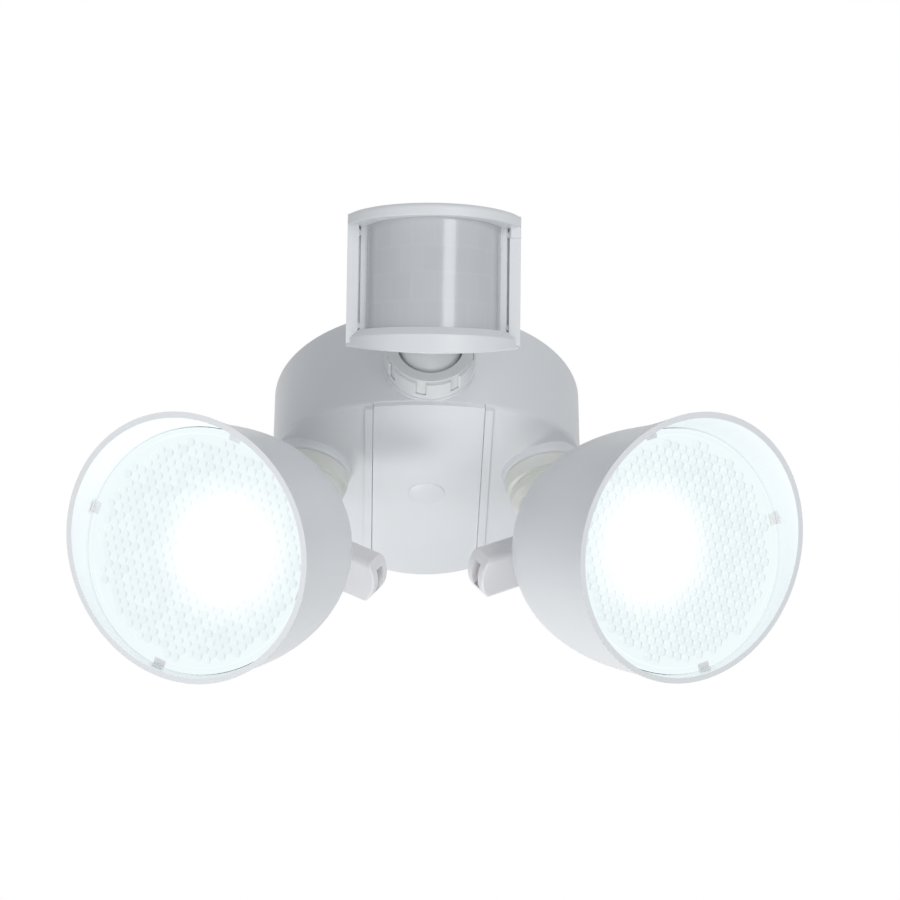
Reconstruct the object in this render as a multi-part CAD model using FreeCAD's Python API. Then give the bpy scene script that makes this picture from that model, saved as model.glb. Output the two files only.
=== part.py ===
import FreeCAD, Part
import math
import os

# Twin-head motion sensor security light, hung under an eave.
# Millimetres. X to the right, Y into the wall, Z up. The origin is the centre of the
# canopy's back, in the plane of the ceiling, and everything hangs below it.

V = FreeCAD.Vector
X_AXIS = V(1, 0, 0)
Y_AXIS = V(0, 1, 0)
Z_AXIS = V(0, 0, 1)
ORIGIN = V(0, 0, 0)

# ---- clearances ----
fit_gap = 0.3            # between pieces that move past each other
seat_gap = 0.15          # between a piece and the pocket that holds it
pin_gap = 0.06           # running fit of a bolt in its bore
past = 60.0              # cutting tools run on this far beyond what they cut

# ---- canopy ----
canopy_r = 69.0
canopy_depth = 50.0
canopy_crown_r = 160.0   # the downward face is part of a cylinder lying along Y
canopy_wall = 2.6
canopy_edge = 2.0        # rounding where the side meets the face
cover_half_w = 24.0      # centre cover
cover_thick = 1.8
rib_width = 3.3
rib_rise = 1.2
plug_r = 8.0
plug_rise = 1.3
bolt_r = 2.5
bolt_head_r = 5.0
bolt_head_h = 3.2
bolt_slot_w = 1.2
bolt_slot_depth = 1.4
pillar_r = 7.5           # pillar in the canopy that the mounting bolt passes through

# ---- ceiling fixings ----
bar_end = 2.5            # metal left beyond each slot
bar_width = 22.0
bar_thick = 2.0
bar_slot_spacing = 88.9
bar_slot_length = 10.0
bar_slot_r = 2.4
bar_length = bar_slot_spacing + bar_slot_length + 2 * bar_end
nut_h = 4.0
nut_flats = 8.0
gasket_width = 6.0
gasket_thick = 4.0
ground_x = 22.0
ground_r = 2.0

# ---- electronics in the canopy ----
board_x = 56.0
board_y = 40.0
board_thick = 1.6
board_centre_y = 38.0
board_drop = 14.0        # from the ceiling plane to the board's upper face
post_r = 3.0

# ---- lamp arm, right-hand side ----
boss_x = 50.2
boss_y = -11.0
boss_lean = 12.8         # degrees outward from straight down
boss_r = 17.6
boss_rise = 4.8
spigot_r = 13.4
spigot_len = 8.0
ring_r = 17.4
ring_len = 14.0
ring_groove = 1.4
arm_flange_r = 12.6
arm_flange_h = 2.0
neck_r = 9.4
neck_stop = 4.0           # the round neck ends this far short of the head's ears
arm_length = 43.0        # from the canopy's face to the hinge
hinge_lean = 16.2        # degrees between the hinge bolt and square to the arm
knuckle_r = 9.2
knuckle_half = 8.0
wire_bore_r = 3.5
swivel_rest = {"left": -6.0, "right": -13.0}
tilt_rest = {"left": 50.5, "right": 52.5}

# ---- lamp head, measured along its axis from the hinge ----
head_length = 104.0      # hinge to the centre of the rim
rim_r = 55.6
rim_slant = 10.0         # degrees; the upper lip reaches further forward
shade_wall = 2.4
rim_flare = 0.17          # radius gained per millimetre at the mouth
mouth_extra = 13.0        # how far the shade is drawn past the rim's middle before the slanted cut
# outline of the shade from its rim to its back, as shares of its depth and of the rim's radius
shade_form = ((0.0, 1.0), (0.22, 0.95), (0.44, 0.917), (0.655, 0.8525), (0.85, 0.734), (0.95, 0.62))
back_z = 12.5
back_r = 27.0
ear_half_in = knuckle_half + fit_gap
ear_thick = 7.0
ear_r = 10.5
hinge_bolt_r = 3.0
hinge_head_r = 6.0
hinge_head_h = 2.6
lens_recess = 13.0       # rim centre to the lens's front
lens_thick = 3.0
lens_gasket_h = 2.0
prism_r = 47.5
prism_depth = 0.8
clip_width = 5.0
clip_thick = 0.6
clip_count = 4
clip_reach = 3.2
clip_rise = 1.8
ledge_w = 3.6
ledge_h = 2.0
reflector_wall = 1.0
prism_crown = 0.6
sink_core_r = 9.0
led_board_r = 17.0
led_z = 40.0             # hinge to the light source
led_r = 9.0
sink_r = 24.0
sink_fin_count = 12
sink_fin_thick = 1.4

# ---- paddle knob ----
knob_length = 30.0
knob_height = 20.5
knob_thick = 12.0
knob_corner = 2.4
knob_end_round = 0.8
knob_end_r = 15.0
knob_slot_rim = 4.0
knob_slot_w = 4.6
knob_slot_depth = 9.0
knob_turn = -28.0          # degrees about the hinge bolt
insert_r = 4.6
insert_len = 9.0

# ---- sensor joint on the canopy's front ----
collar_z = -29.0
collar_flange_r = 19.2
collar_flange_h = 2.4
collar_thread_r = 17.3
collar_len = 9.0
collar_hole_r = 16.3      # hole in the canopy's wall
collar_shoulder = 1.0
collar_tail = 7.0
collar_pad_rise = 1.0
nut_outer_r = 19.8
nut_len = 7.5
nut_lip = 2.0
nut_opening_r = 14.2
lug_count = 8
lug_width = 10.5
lug_rise = 1.2
ball_r = 14.0
bush_wall = 1.6
ball_centre_y = -75.0
stem_r = 7.5

# ---- sensor head ----
sensor_pitch = 27.0      # degrees below level
sensor_x = 0.0
sensor_y = -141.7
sensor_z = -40.5
sensor_w = 71.0
sensor_h = 54.5
sensor_back = 24.0       # behind the split line
sensor_bulge = 30.0      # roof ahead of the split line
sensor_wall = 2.2
rear_lift = 3.5          # the back half's floor lies this much above the sill's
sensor_corner = 4.0
roof_thick = 5.2
jamb_w = 4.6
jamb_depth = 6.5
sill_thick = 6.5
sill_droop = 6.8
sill_bevel_in = 3.2      # bevel in front of the window
sill_bevel_down = 3.0
window_wall = 1.0
lens_setback = 3.6
roof_round = 2.2
groove_w = 0.9
groove_depth = 3.2
strip_w = 2.0
strip_depth = 4.5
catch_h = 4.4
sill_slope = 5.0
sill_rake = 14.0
pyro_r = 4.6
pyro_len = 4.4
sensor_screw_r = 1.5
sensor_screw_grip = 5.0
clamp_ear_w = 4.5
clamp_ear_r = 8.0
clamp_drop = 5.5
clamp_back = 9.0
clevis_half = 6.0
clamp_bolt_r = 2.4
clamp_head_r = 5.5
switch_travel = 6.0
switch_w = 5.0
switch_l = 4.0
switch_rise = 2.2
switch_pitch = 17.0


def disc(radius, height, z=0.0):
    return Part.makeCylinder(radius, height, V(0, 0, z))


def ring(outer, inner, height, z=0.0):
    return disc(outer, height, z).cut(disc(inner, height, z))


def bar(size_x, size_y, size_z, x=0.0, y=0.0, z=0.0):
    """Box centred on x and y, standing on z."""
    return Part.makeBox(size_x, size_y, size_z, V(x - size_x / 2, y - size_y / 2, z))


def along_x(radius, x0, x1, y=0.0, z=0.0):
    return Part.makeCylinder(radius, x1 - x0, V(x0, y, z), X_AXIS)


def along_y(radius, y0, y1, x=0.0, z=0.0):
    return Part.makeCylinder(radius, y1 - y0, V(x, y0, z), Y_AXIS)


def prism_z(points, z0, z1):
    """Straight-sided outline in X and Y, standing from z0 to z1."""
    corners = [V(x, y, z0) for x, y in points]
    return Part.Face(Part.makePolygon(corners + corners[:1])).extrude(V(0, 0, z1 - z0))


def turned(points, smooth=None):
    """Solid of revolution about Z from (radius, z) points; smooth joins the first points by a curve."""
    corners = [V(r, 0, z) for r, z in points]
    if smooth:
        curve = Part.BSplineCurve()
        curve.interpolate(corners[:smooth])
        edges = [curve.toShape()]
        corners = corners[smooth - 1:] + corners[:1]
    else:
        edges = []
        corners = corners + corners[:1]
    for start, end in zip(corners, corners[1:]):
        edges.append(Part.makeLine(start, end))
    return Part.Face(Part.Wire(edges)).revolve(ORIGIN, Z_AXIS, 360)


def hexagon(flats, height, z=0.0):
    radius = flats / math.sqrt(3)
    points = []
    for k in range(6):
        angle = math.radians(60 * k)
        points.append((radius * math.cos(angle), radius * math.sin(angle)))
    return prism_z(points, z, z + height)


def spun(shape, degrees, axis=Z_AXIS, centre=ORIGIN):
    turned_copy = shape.copy()
    turned_copy.rotate(centre, axis, degrees)
    return turned_copy


def around(shape, count, first=0.0):
    """Copies of shape spread evenly about Z."""
    return [spun(shape, first + 360.0 * k / count) for k in range(count)]


def union(shapes):
    whole = shapes[0]
    for shape in shapes[1:]:
        whole = whole.fuse(shape)
    return whole.removeSplitter()


def less(shape, tools):
    for tool in tools:
        shape = shape.cut(tool)
    return shape


def frame_from(origin, x_dir, z_dir):
    """Placement whose own X and Z point along x_dir and z_dir."""
    y_dir = z_dir.cross(x_dir)
    matrix = FreeCAD.Matrix(x_dir.x, y_dir.x, z_dir.x, origin.x,
                            x_dir.y, y_dir.y, z_dir.y, origin.y,
                            x_dir.z, y_dir.z, z_dir.z, origin.z,
                            0, 0, 0, 1)
    return FreeCAD.Placement(matrix)


def placed(shape, frame):
    moved = shape.copy()
    moved.Placement = frame.multiply(moved.Placement)
    return moved


def crown_z(x):
    """Height of the canopy's downward face at x."""
    return -(canopy_depth - canopy_crown_r + math.sqrt(canopy_crown_r ** 2 - x ** 2))


# ---------------------------------------------------------------- canopy

def crowned_drum(radius, depth, crown_r):
    """Drum below the ceiling plane whose lower face is crowned about Y."""
    half = radius + 5.0
    edge_z = crown_r - depth - math.sqrt(crown_r ** 2 - half ** 2)
    crown = Part.Arc(V(-half, -half, edge_z), V(0, -half, -depth), V(half, -half, edge_z)).toShape()
    corners = [V(half, -half, edge_z), V(half, -half, 0), V(-half, -half, 0), V(-half, -half, edge_z)]
    edges = [crown] + [Part.makeLine(start, end) for start, end in zip(corners, corners[1:])]
    block = Part.Face(Part.Wire(edges)).extrude(V(0, 2 * half, 0))
    return Part.makeCylinder(radius, 2 * depth, V(0, 0, -2 * depth)).common(block)


def arm_frame():
    """Right-hand arm: Z away from the canopy, X towards the middle of the light."""
    lean = math.radians(boss_lean)
    z_dir = V(math.sin(lean), 0, -math.cos(lean))
    x_dir = V(-math.cos(lean), 0, -math.sin(lean))
    return frame_from(V(boss_x, boss_y, crown_z(boss_x)), x_dir, z_dir)


def both_sides(shape):
    return [shape, shape.mirror(ORIGIN, X_AXIS)]


def canopy_shell():
    outer = crowned_drum(canopy_r, canopy_depth, canopy_crown_r)
    rounded = [e for e in outer.Edges if e.BoundBox.ZMax < -1 and e.Length > canopy_r]
    outer = outer.makeFillet(canopy_edge, rounded)
    hollow = crowned_drum(canopy_r - canopy_wall, canopy_depth - canopy_wall, canopy_crown_r - canopy_wall)
    return outer.cut(hollow)


def cover_strip(half_w, top, bottom, radius):
    """Band along Y that follows the crown between two offsets from the face."""
    skin = crowned_drum(radius, canopy_depth + bottom, canopy_crown_r + bottom)
    skin = skin.cut(crowned_drum(radius + 1, canopy_depth - top, canopy_crown_r - top))
    band = bar(2 * half_w, 2 * canopy_r + 2, 0.6 * canopy_depth, z=-canopy_depth - 4)
    return skin.common(band)


def canopy_housing():
    body = canopy_shell()
    pocket = cover_strip(cover_half_w + seat_gap, cover_thick, 1.0, canopy_r + 1)
    floor = cover_strip(cover_half_w + canopy_wall, cover_thick + canopy_wall, -cover_thick,
                        canopy_r - canopy_wall / 2)
    ribs = []
    for side in (-1, 1):
        rib = cover_strip(rib_width / 2, canopy_wall / 2, rib_rise, canopy_r - canopy_edge)
        ribs.append(rib_at(rib, side))
    boss = disc(boss_r, boss_rise + 2 * canopy_wall, -2 * canopy_wall)
    boss = boss.makeFillet(2.0, [e for e in boss.Edges if e.BoundBox.ZMin > boss_rise - 0.1])
    spigot = disc(spigot_r, spigot_len, boss_rise)
    bores = disc(neck_r - 0.5, boss_rise + spigot_len + past, -15)
    bosses = both_sides(placed(union([boss, spigot]), arm_frame()))
    pillar = Part.makeCylinder(pillar_r, canopy_depth - bar_thick - nut_h - cover_thick - 1,
                               V(0, 0, -canopy_depth + cover_thick + 1))
    ledge = ring(canopy_r - canopy_wall / 2, canopy_r - gasket_width - canopy_wall, 3.0, -gasket_thick - 3.0)
    collar_pad = along_y(collar_flange_r + 0.6, -canopy_r - collar_pad_rise, -canopy_r + 14.0, z=collar_z)
    posts = [disc(post_r, canopy_depth, -canopy_depth) for _ in range(2)]
    posts[0].translate(V(-board_x / 2 + 5, board_centre_y, 0))
    posts[1].translate(V(board_x / 2 - 5, board_centre_y, 0))
    inside = crowned_drum(canopy_r - canopy_wall / 2, canopy_depth - canopy_wall / 2,
                          canopy_crown_r - canopy_wall / 2)
    under_board = bar(4 * canopy_r, 4 * canopy_r, canopy_depth, z=-board_drop - board_thick - canopy_depth)
    posts = [p.common(inside).common(under_board) for p in posts]
    body = union([body, floor, pillar, ledge, collar_pad] + ribs + bosses + posts)
    head_pocket = disc(bolt_head_r + 0.6, bolt_head_h + cover_thick + 1, -canopy_depth - 1)
    tools = [pocket, disc(bolt_r + 0.4, canopy_depth + 2, -canopy_depth - 1), head_pocket]
    tools.append(along_y(collar_hole_r, -canopy_r - 5, -canopy_r + 20, z=collar_z))
    tools += both_sides(placed(bores, arm_frame()))
    body = less(body, tools)
    clear_roof = bar(4 * canopy_r, 4 * canopy_r, past, z=0)
    return body.cut(clear_roof)


def rib_at(rib, side):
    """Slide a rib that was made on the middle line out to the cover's edge and drop it with the crown."""
    x = side * (cover_half_w + seat_gap + rib_width / 2)
    moved = rib.copy()
    moved.rotate(V(0, 0, canopy_crown_r - canopy_depth), Y_AXIS, -math.degrees(math.asin(x / canopy_crown_r)))
    return moved.common(Part.makeCylinder(canopy_r - 0.6, 2 * canopy_depth, V(0, 0, -2 * canopy_depth)))


def centre_cover():
    band = cover_strip(cover_half_w, cover_thick, 0.0, canopy_r - canopy_edge / 2)
    return less(band, [disc(plug_r - 1.5, 20, -canopy_depth - 5)])


def bolt_plug():
    cap = turned([(0, -canopy_depth - plug_rise), (plug_r * 0.55, -canopy_depth - plug_rise * 0.85),
                  (plug_r, -canopy_depth - 0.1), (plug_r, -canopy_depth), (0, -canopy_depth)], smooth=3)
    stem = disc(plug_r - 1.5 - seat_gap, cover_thick, -canopy_depth)
    return union([cap, stem])


def wall_gasket():
    return ring(canopy_r - canopy_wall - seat_gap, canopy_r - canopy_wall - gasket_width, gasket_thick,
                -gasket_thick)


def mounting_bar():
    plate = bar(bar_length, bar_width, bar_thick, z=-bar_thick)
    plate = plate.makeFillet(5.0, [e for e in plate.Edges if abs(e.Length - bar_thick) < 0.01])
    tools = [disc(bolt_r + 0.3, 10, -5), disc(ground_r, 10, -5)]
    tools[1].translate(V(ground_x, 0, 0))
    for side in (-1, 1):
        x = side * bar_slot_spacing / 2
        reach = bar_slot_length / 2 - bar_slot_r
        slot = union([bar(2 * reach, 2 * bar_slot_r, 10, x=x, z=-5),
                      Part.makeCylinder(bar_slot_r, 10, V(x - reach, 0, -5)),
                      Part.makeCylinder(bar_slot_r, 10, V(x + reach, 0, -5))])
        tools.append(slot)
    return less(plate, tools)


def bar_bolt():
    head_z = -canopy_depth + cover_thick
    shank = disc(bolt_r, -head_z - 0.5, head_z + bolt_head_h - 0.2)
    head = disc(bolt_head_r, bolt_head_h, head_z)
    groove = bar(bolt_slot_w, 2 * bolt_head_r + 1, bolt_slot_depth, z=head_z)
    return union([head, shank.common(bar(20, 20, -head_z, z=head_z))]).cut(groove)


def bar_nut():
    return hexagon(nut_flats, nut_h, -bar_thick - nut_h).cut(disc(bolt_r, 20, -15))


def ground_screw():
    head = disc(2 * ground_r, 2.0, -bar_thick - 2.0)
    cross = bar(1.0, 3 * ground_r, 0.8, z=-bar_thick - 2.0)
    screw = union([head, disc(ground_r, bar_thick, -bar_thick)]).cut(cross)
    screw.translate(V(ground_x, 0, 0))
    return screw


def board_frame():
    return FreeCAD.Placement(V(0, board_centre_y, -board_drop), FreeCAD.Rotation())


def control_board():
    board = bar(board_x, board_y, board_thick, z=-board_thick)
    holes = [disc(1.6, 10, -5) for _ in range(2)]
    holes[0].translate(V(-board_x / 2 + 5, 0, 0))
    holes[1].translate(V(board_x / 2 - 5, 0, 0))
    return placed(less(board, holes), board_frame())


def board_screws():
    screws = []
    for side in (-1, 1):
        x = side * (board_x / 2 - 5)
        head = Part.makeCylinder(2.8, 1.6, V(x, 0, 0))
        shank = Part.makeCylinder(1.5, board_thick, V(x, 0, -board_thick))
        screws.append(placed(union([head, shank]), board_frame()))
    return Part.makeCompound(screws)


def board_parts():
    """Relay, transformer, capacitor and film capacitor on the board's lower face."""
    relay = bar(16, 12, 12, x=-14, y=9, z=-board_thick - 12)
    transformer = bar(18, 16, 14, x=10, y=8, z=-board_thick - 14)
    capacitor = Part.makeCylinder(5, 16, V(-12, -9, -board_thick - 16))
    film = bar(12, 6, 9, x=8, y=-10, z=-board_thick - 9)
    return Part.makeCompound([placed(s, board_frame()) for s in (relay, transformer, capacitor, film)])


def terminal_block():
    body = bar(24, 9, 9, y=0, z=0)
    tools = []
    for k in range(3):
        x = (k - 1) * 7.5
        tools.append(Part.makeCylinder(2.2, 3, V(x, 0, 7)))
        tools.append(Part.makeCylinder(1.8, 6, V(x, -5, 3.2), Y_AXIS))
    return placed(less(body, tools), board_frame())


# ---------------------------------------------------------------- sensor joint

def collar_frame():
    """Z points out of the canopy's front, origin on the wall."""
    return frame_from(V(0, -canopy_r, collar_z), X_AXIS, V(0, -1, 0))


ball_out = -ball_centre_y - canopy_r     # ball's centre ahead of the canopy's wall
bush_r = ball_r + fit_gap + bush_wall


def sensor_collar():
    start = collar_pad_rise
    shoulder = ring(collar_flange_r, ball_r + fit_gap, collar_shoulder, start)
    flange = ring(collar_flange_r, bush_r + fit_gap, collar_flange_h - collar_shoulder, start + collar_shoulder)
    thread = ring(collar_thread_r, bush_r + fit_gap, collar_len - collar_shoulder, start + collar_shoulder)
    tube = ring(collar_hole_r - seat_gap, ball_r + fit_gap, collar_tail + start, -collar_tail)
    return placed(union([shoulder, flange, thread, tube]), collar_frame())


def ball_bush():
    """Split nylon liner that grips the ball when the nut is tightened."""
    start = collar_pad_rise + collar_shoulder + fit_gap
    outer = disc(bush_r, collar_len - collar_shoulder - fit_gap, start)
    cup = Part.makeSphere(ball_r + fit_gap, V(0, 0, ball_out))
    slit = bar(1.0, 3 * bush_r, collar_len, z=start + 0.6 * collar_len)
    return placed(less(outer, [cup, slit]), collar_frame())


def sensor_lock_nut():
    start = collar_pad_rise + collar_flange_h + fit_gap
    body = ring(nut_outer_r - lug_rise, collar_thread_r + pin_gap, nut_len, start)
    lip = ring(nut_outer_r - lug_rise, nut_opening_r, nut_lip, start + nut_len)
    lug = bar(lug_rise + 1.0, lug_width, nut_len + nut_lip - 1.5, x=nut_outer_r - lug_rise / 2, z=start)
    lug = lug.common(ring(nut_outer_r, collar_thread_r + 0.5, 4 * nut_len, 0))
    return placed(union([body, lip] + around(lug, lug_count, 11.0)), collar_frame())


def sensor_frame():
    return FreeCAD.Placement(V(sensor_x, sensor_y, sensor_z), FreeCAD.Rotation(X_AXIS, sensor_pitch))


def clamp_centre():
    """Hinge of the sensor, behind its back wall."""
    return sensor_frame().multVec(V(0, sensor_back + clamp_back, -clamp_drop))


def ball_arm():
    centre = clamp_centre()
    start = V(0, ball_centre_y, collar_z)
    run = centre - start
    reach = run.Length
    frame = frame_from(start, X_AXIS, V(0, run.y / reach, run.z / reach))
    ball = Part.makeSphere(ball_r)
    stem = disc(stem_r, reach - clamp_ear_r)
    knuckle = along_x(clamp_ear_r, -clevis_half, clevis_half, z=reach)
    web = bar(2 * clevis_half, 2 * stem_r, clamp_ear_r + 4, z=reach - clamp_ear_r - 4)
    web = web.common(disc(stem_r + 1.0, reach + 10))
    bolt_bore = along_x(clamp_bolt_r + pin_gap, -past, past, z=reach)
    wire_bore = disc(3.0, reach, -ball_r - 1)
    return placed(less(union([ball, stem, web, knuckle]), [bolt_bore, wire_bore]), frame)


# ---------------------------------------------------------------- sensor head

def d_outline(half_w, back, bulge, z):
    """Face in X and Y at height z: square back, front an arc through the bulge."""
    right = V(half_w, 0, z)
    left = V(-half_w, 0, z)
    corners = [right, V(half_w, back, z), V(-half_w, back, z), left] if back else [right, left]
    edges = [Part.makeLine(start, end) for start, end in zip(corners, corners[1:])]
    edges.append(Part.Arc(left, V(0, -bulge, z), right).toShape())
    return Part.Face(Part.Wire(edges))


def d_block(half_w, back, bulge, z0, z1):
    return d_outline(half_w, back, bulge, z0).extrude(V(0, 0, z1 - z0))


sensor_half = sensor_w / 2
sensor_top = sensor_h / 2
rear_floor = -sensor_top + rear_lift
rear_h = sensor_h - rear_lift
sill_top = -sensor_top + sill_thick
roof_low = sensor_top - roof_thick
ear_outer = clevis_half + fit_gap + clamp_ear_w
clamp_y = sensor_back + clamp_back
screw_x = sensor_half - sensor_wall - sensor_screw_r - 0.5
screw_z = sensor_top - sensor_corner - sensor_screw_r - 2.5
switch_y = sensor_back * 0.55


def switch_places():
    """Middle of each slide switch's travel along the sensor's underside."""
    return {"range_switch": -switch_pitch / 2, "time_switch": switch_pitch / 2}


def sensor_rear_shell():
    box = bar(sensor_w, sensor_back, rear_h, y=sensor_back / 2, z=rear_floor)
    back_edges = [e for e in box.Edges if e.BoundBox.YMin > sensor_back - 0.01]
    box = box.makeFillet(sensor_corner, back_edges)
    hollow = bar(sensor_w - 2 * sensor_wall, sensor_back, rear_h - 2 * sensor_wall,
                 y=sensor_back / 2 - sensor_wall, z=rear_floor + sensor_wall)
    pieces = [box.cut(hollow)]
    for side in (-1, 1):
        low = min(side * (clevis_half + fit_gap), side * ear_outer)
        barrel = along_x(clamp_ear_r, low, low + clamp_ear_w, y=clamp_y, z=-clamp_drop)
        root = Part.makeBox(clamp_ear_w, clamp_back + 0.5, 2 * clamp_ear_r,
                            V(low, sensor_back - 0.5, -clamp_drop - clamp_ear_r))
        pieces += [barrel, root]
    tools = [along_x(clamp_bolt_r + pin_gap, -past, past, y=clamp_y, z=-clamp_drop),
             along_y(2.5, sensor_back - 10, sensor_back + 1, z=clamp_ear_r + 2)]
    for x in (-screw_x, screw_x):
        for z in (-screw_z, screw_z):
            tools.append(along_y(sensor_screw_r + 0.2, sensor_back - 5, sensor_back + 1, x=x, z=z))
            tools.append(along_y(2 * sensor_screw_r, sensor_back - 1.2, sensor_back + 1, x=x, z=z))
    slot_l = switch_l + switch_travel + 2 * fit_gap
    for x in switch_places().values():
        tools.append(bar(slot_l, switch_w + 2 * fit_gap, 3 * sensor_wall, x=x, y=switch_y,
                         z=rear_floor - sensor_wall))
    return placed(less(union(pieces), tools), sensor_frame())


def above_sill():
    """Everything above the shelf's sloping floor."""
    block = Part.makeBox(2 * sensor_w, 3 * sensor_bulge, 2 * sensor_h, V(-sensor_w, -3 * sensor_bulge, 0))
    block.rotate(ORIGIN, X_AXIS, sill_slope)
    block.translate(V(0, 0, sill_top))
    return block


def sill():
    """Shelf under the window: slopes forward and droops in the middle."""
    left = V(-sensor_half, 0, -sensor_top)
    right = V(sensor_half, 0, -sensor_top)
    droop = Part.Arc(left, V(0, 0, -sensor_top - sill_droop), right).toShape()
    corners = [right, V(sensor_half, 0, sill_top), V(-sensor_half, 0, sill_top), left]
    edges = [droop] + [Part.makeLine(a, b) for a, b in zip(corners, corners[1:])]
    slab = Part.Face(Part.Wire(edges)).extrude(V(0, -sensor_bulge - 1, 0))
    slab = slab.common(d_block(sensor_half, 0, sensor_bulge, -2 * sensor_h, sensor_h)).cut(above_sill())
    front = [e for e in slab.Edges if e.BoundBox.YMin < 1 - sensor_bulge and e.BoundBox.ZMax > sill_top - 1]
    slab = slab.makeChamfer(sill_bevel_in, sill_bevel_down, front)
    rake = Part.makeBox(2 * sensor_w, sensor_bulge + 2, sensor_h, V(-sensor_w, -sensor_bulge - 2, -sensor_h))
    rake.rotate(ORIGIN, X_AXIS, sill_rake)
    rake.translate(V(0, 0, -sensor_top))
    return slab.cut(rake)


def sensor_front_shell():
    roof = d_block(sensor_half, 0, sensor_bulge, roof_low, sensor_top)
    rim = [e for e in roof.Edges if e.BoundBox.ZMin > sensor_top - 0.1 and e.BoundBox.YMin < -1]
    roof = roof.makeFillet(roof_round, rim)
    pieces = [roof, sill()]
    tall = sensor_h - 1.0
    for side in (-1, 1):
        pieces.append(bar(jamb_w, jamb_depth, tall, x=side * (sensor_half - jamb_w / 2),
                          y=-jamb_depth / 2, z=-tall / 2))
        pieces.append(bar(strip_w, strip_depth, tall, x=side * (sensor_half - jamb_w - groove_w - strip_w / 2),
                          y=-strip_depth / 2, z=-tall / 2))
        pieces.append(bar(jamb_w, groove_depth, tall, x=side * (sensor_half - jamb_w),
                          y=-groove_depth / 2, z=-tall / 2))
    catch = bar(jamb_w * 0.9, jamb_depth + 1.0, catch_h, x=sensor_half - jamb_w * 0.45,
                y=-(jamb_depth + 1.0) / 2, z=roof_low - catch_h)
    tools = []
    for x in (-screw_x, screw_x):
        for z in (-screw_z, screw_z):
            tools.append(along_y(sensor_screw_r, -sensor_screw_grip, 1, x=x, z=z))
    return placed(less(union(pieces + [catch]), tools), sensor_frame())


lens_half = sensor_half - jamb_w - groove_w - strip_w - seat_gap


def sensor_lens():
    bulge = sensor_bulge - lens_setback
    outer = d_block(lens_half, 0, bulge, -sensor_top, roof_low).common(above_sill())
    inner = d_block(lens_half - window_wall, 1, bulge - window_wall, -sensor_top - 1, roof_low + 1)
    return placed(outer.cut(inner), sensor_frame())


board_back_y = sensor_back * 0.3


def sensor_board():
    inner_w = sensor_w - 2 * sensor_wall - 2 * seat_gap
    inner_h = rear_h - 2 * sensor_wall - 2 * seat_gap
    board = bar(inner_w, board_thick, inner_h, y=board_back_y - board_thick / 2,
                z=rear_floor + sensor_wall + seat_gap)
    tools = [along_y(sensor_screw_r + fit_gap, 0, sensor_back, x=x, z=z)
             for x in (-screw_x, screw_x) for z in (-screw_z, screw_z)]
    return placed(less(board, tools), sensor_frame())


def pyro_detector():
    front = board_back_y - board_thick
    can = along_y(pyro_r, front - pyro_len, front)
    brim = along_y(pyro_r + 0.8, front - 0.8, front)
    return placed(union([can, brim]), sensor_frame())


def photocell():
    front = board_back_y - board_thick
    return placed(along_y(2.6, front - 2.2, front, x=-lens_half * 0.6, z=roof_low - 8), sensor_frame())


def sensor_screws():
    screws = []
    for x in (-screw_x, screw_x):
        for z in (-screw_z, screw_z):
            shank = along_y(sensor_screw_r, -sensor_screw_grip, sensor_back - 1.2, x=x, z=z)
            head = along_y(2 * sensor_screw_r - 0.2, sensor_back - 1.2, sensor_back, x=x, z=z)
            cross = bar(0.7, 0.8, 3.2, x=x, y=sensor_back, z=z - 1.6)
            screws.append(placed(union([shank, head]).cut(cross), sensor_frame()))
    return Part.makeCompound(screws)


def clamp_bolt():
    head = along_x(clamp_head_r, -ear_outer - 2.5, -ear_outer, y=clamp_y, z=-clamp_drop)
    shank = along_x(clamp_bolt_r, -ear_outer, ear_outer + 4.0, y=clamp_y, z=-clamp_drop)
    return placed(union([head, shank]), sensor_frame())


def clamp_nut():
    nut = hexagon(8.0, 3.2).cut(disc(clamp_bolt_r, 20, -5))
    nut.rotate(ORIGIN, Y_AXIS, 90)
    nut.translate(V(ear_outer, clamp_y, -clamp_drop))
    return placed(nut, sensor_frame())


def slide_switch(x):
    """Slider in its slot, with a flange inside the wall that keeps it from falling out."""
    knob = bar(switch_l, switch_w, sensor_wall + switch_rise + 0.2, x=x, y=switch_y,
               z=rear_floor - switch_rise)
    flange_l = switch_l + switch_travel + 4.0
    flange = bar(flange_l, switch_w + 3.0, 1.2, x=x, y=switch_y, z=rear_floor + sensor_wall + 0.2)
    return placed(union([knob, flange]), sensor_frame())


# ---------------------------------------------------------------- lamps

def shade_stations():
    """Distance behind the rim's middle and outer radius at each station of the shade."""
    depth = head_length - back_z
    return [(share * depth, width * rim_r) for share, width in shade_form]


def shade_outline(inset, front, back):
    """Points from the mouth to the back, moved in by inset; the mouth runs on past the slanted cut."""
    points = [(rim_r + mouth_extra * rim_flare - inset, front)]
    for behind, radius in shade_stations():
        points.append((radius - inset, head_length - behind))
    points.append((back_r - inset * 0.6, back))
    return points


def shade_solid(inset, front, back):
    points = shade_outline(inset, front, back)
    smooth = len(points)
    points += [(0, back), (0, front)]
    return turned(points, smooth=smooth)


def inner_radius(z):
    """Radius of the shade's inner wall at height z, between its stations."""
    stations = [(-mouth_extra, rim_r + mouth_extra * rim_flare)] + shade_stations()
    behind = head_length - z
    for (b0, r0), (b1, r1) in zip(stations, stations[1:]):
        if b0 <= behind <= b1:
            return r0 + (r1 - r0) * (behind - b0) / (b1 - b0) - shade_wall
    return stations[-1][1] - shade_wall


lens_front = head_length - lens_recess
lens_back = lens_front - lens_thick
gasket_back = lens_back - lens_gasket_h
ledge_front = gasket_back - reflector_wall
lens_r = inner_radius(lens_back) - 2 * seat_gap
ear_outer_x = ear_half_in + ear_thick
knob_x = ear_outer_x + 2 * fit_gap


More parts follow.
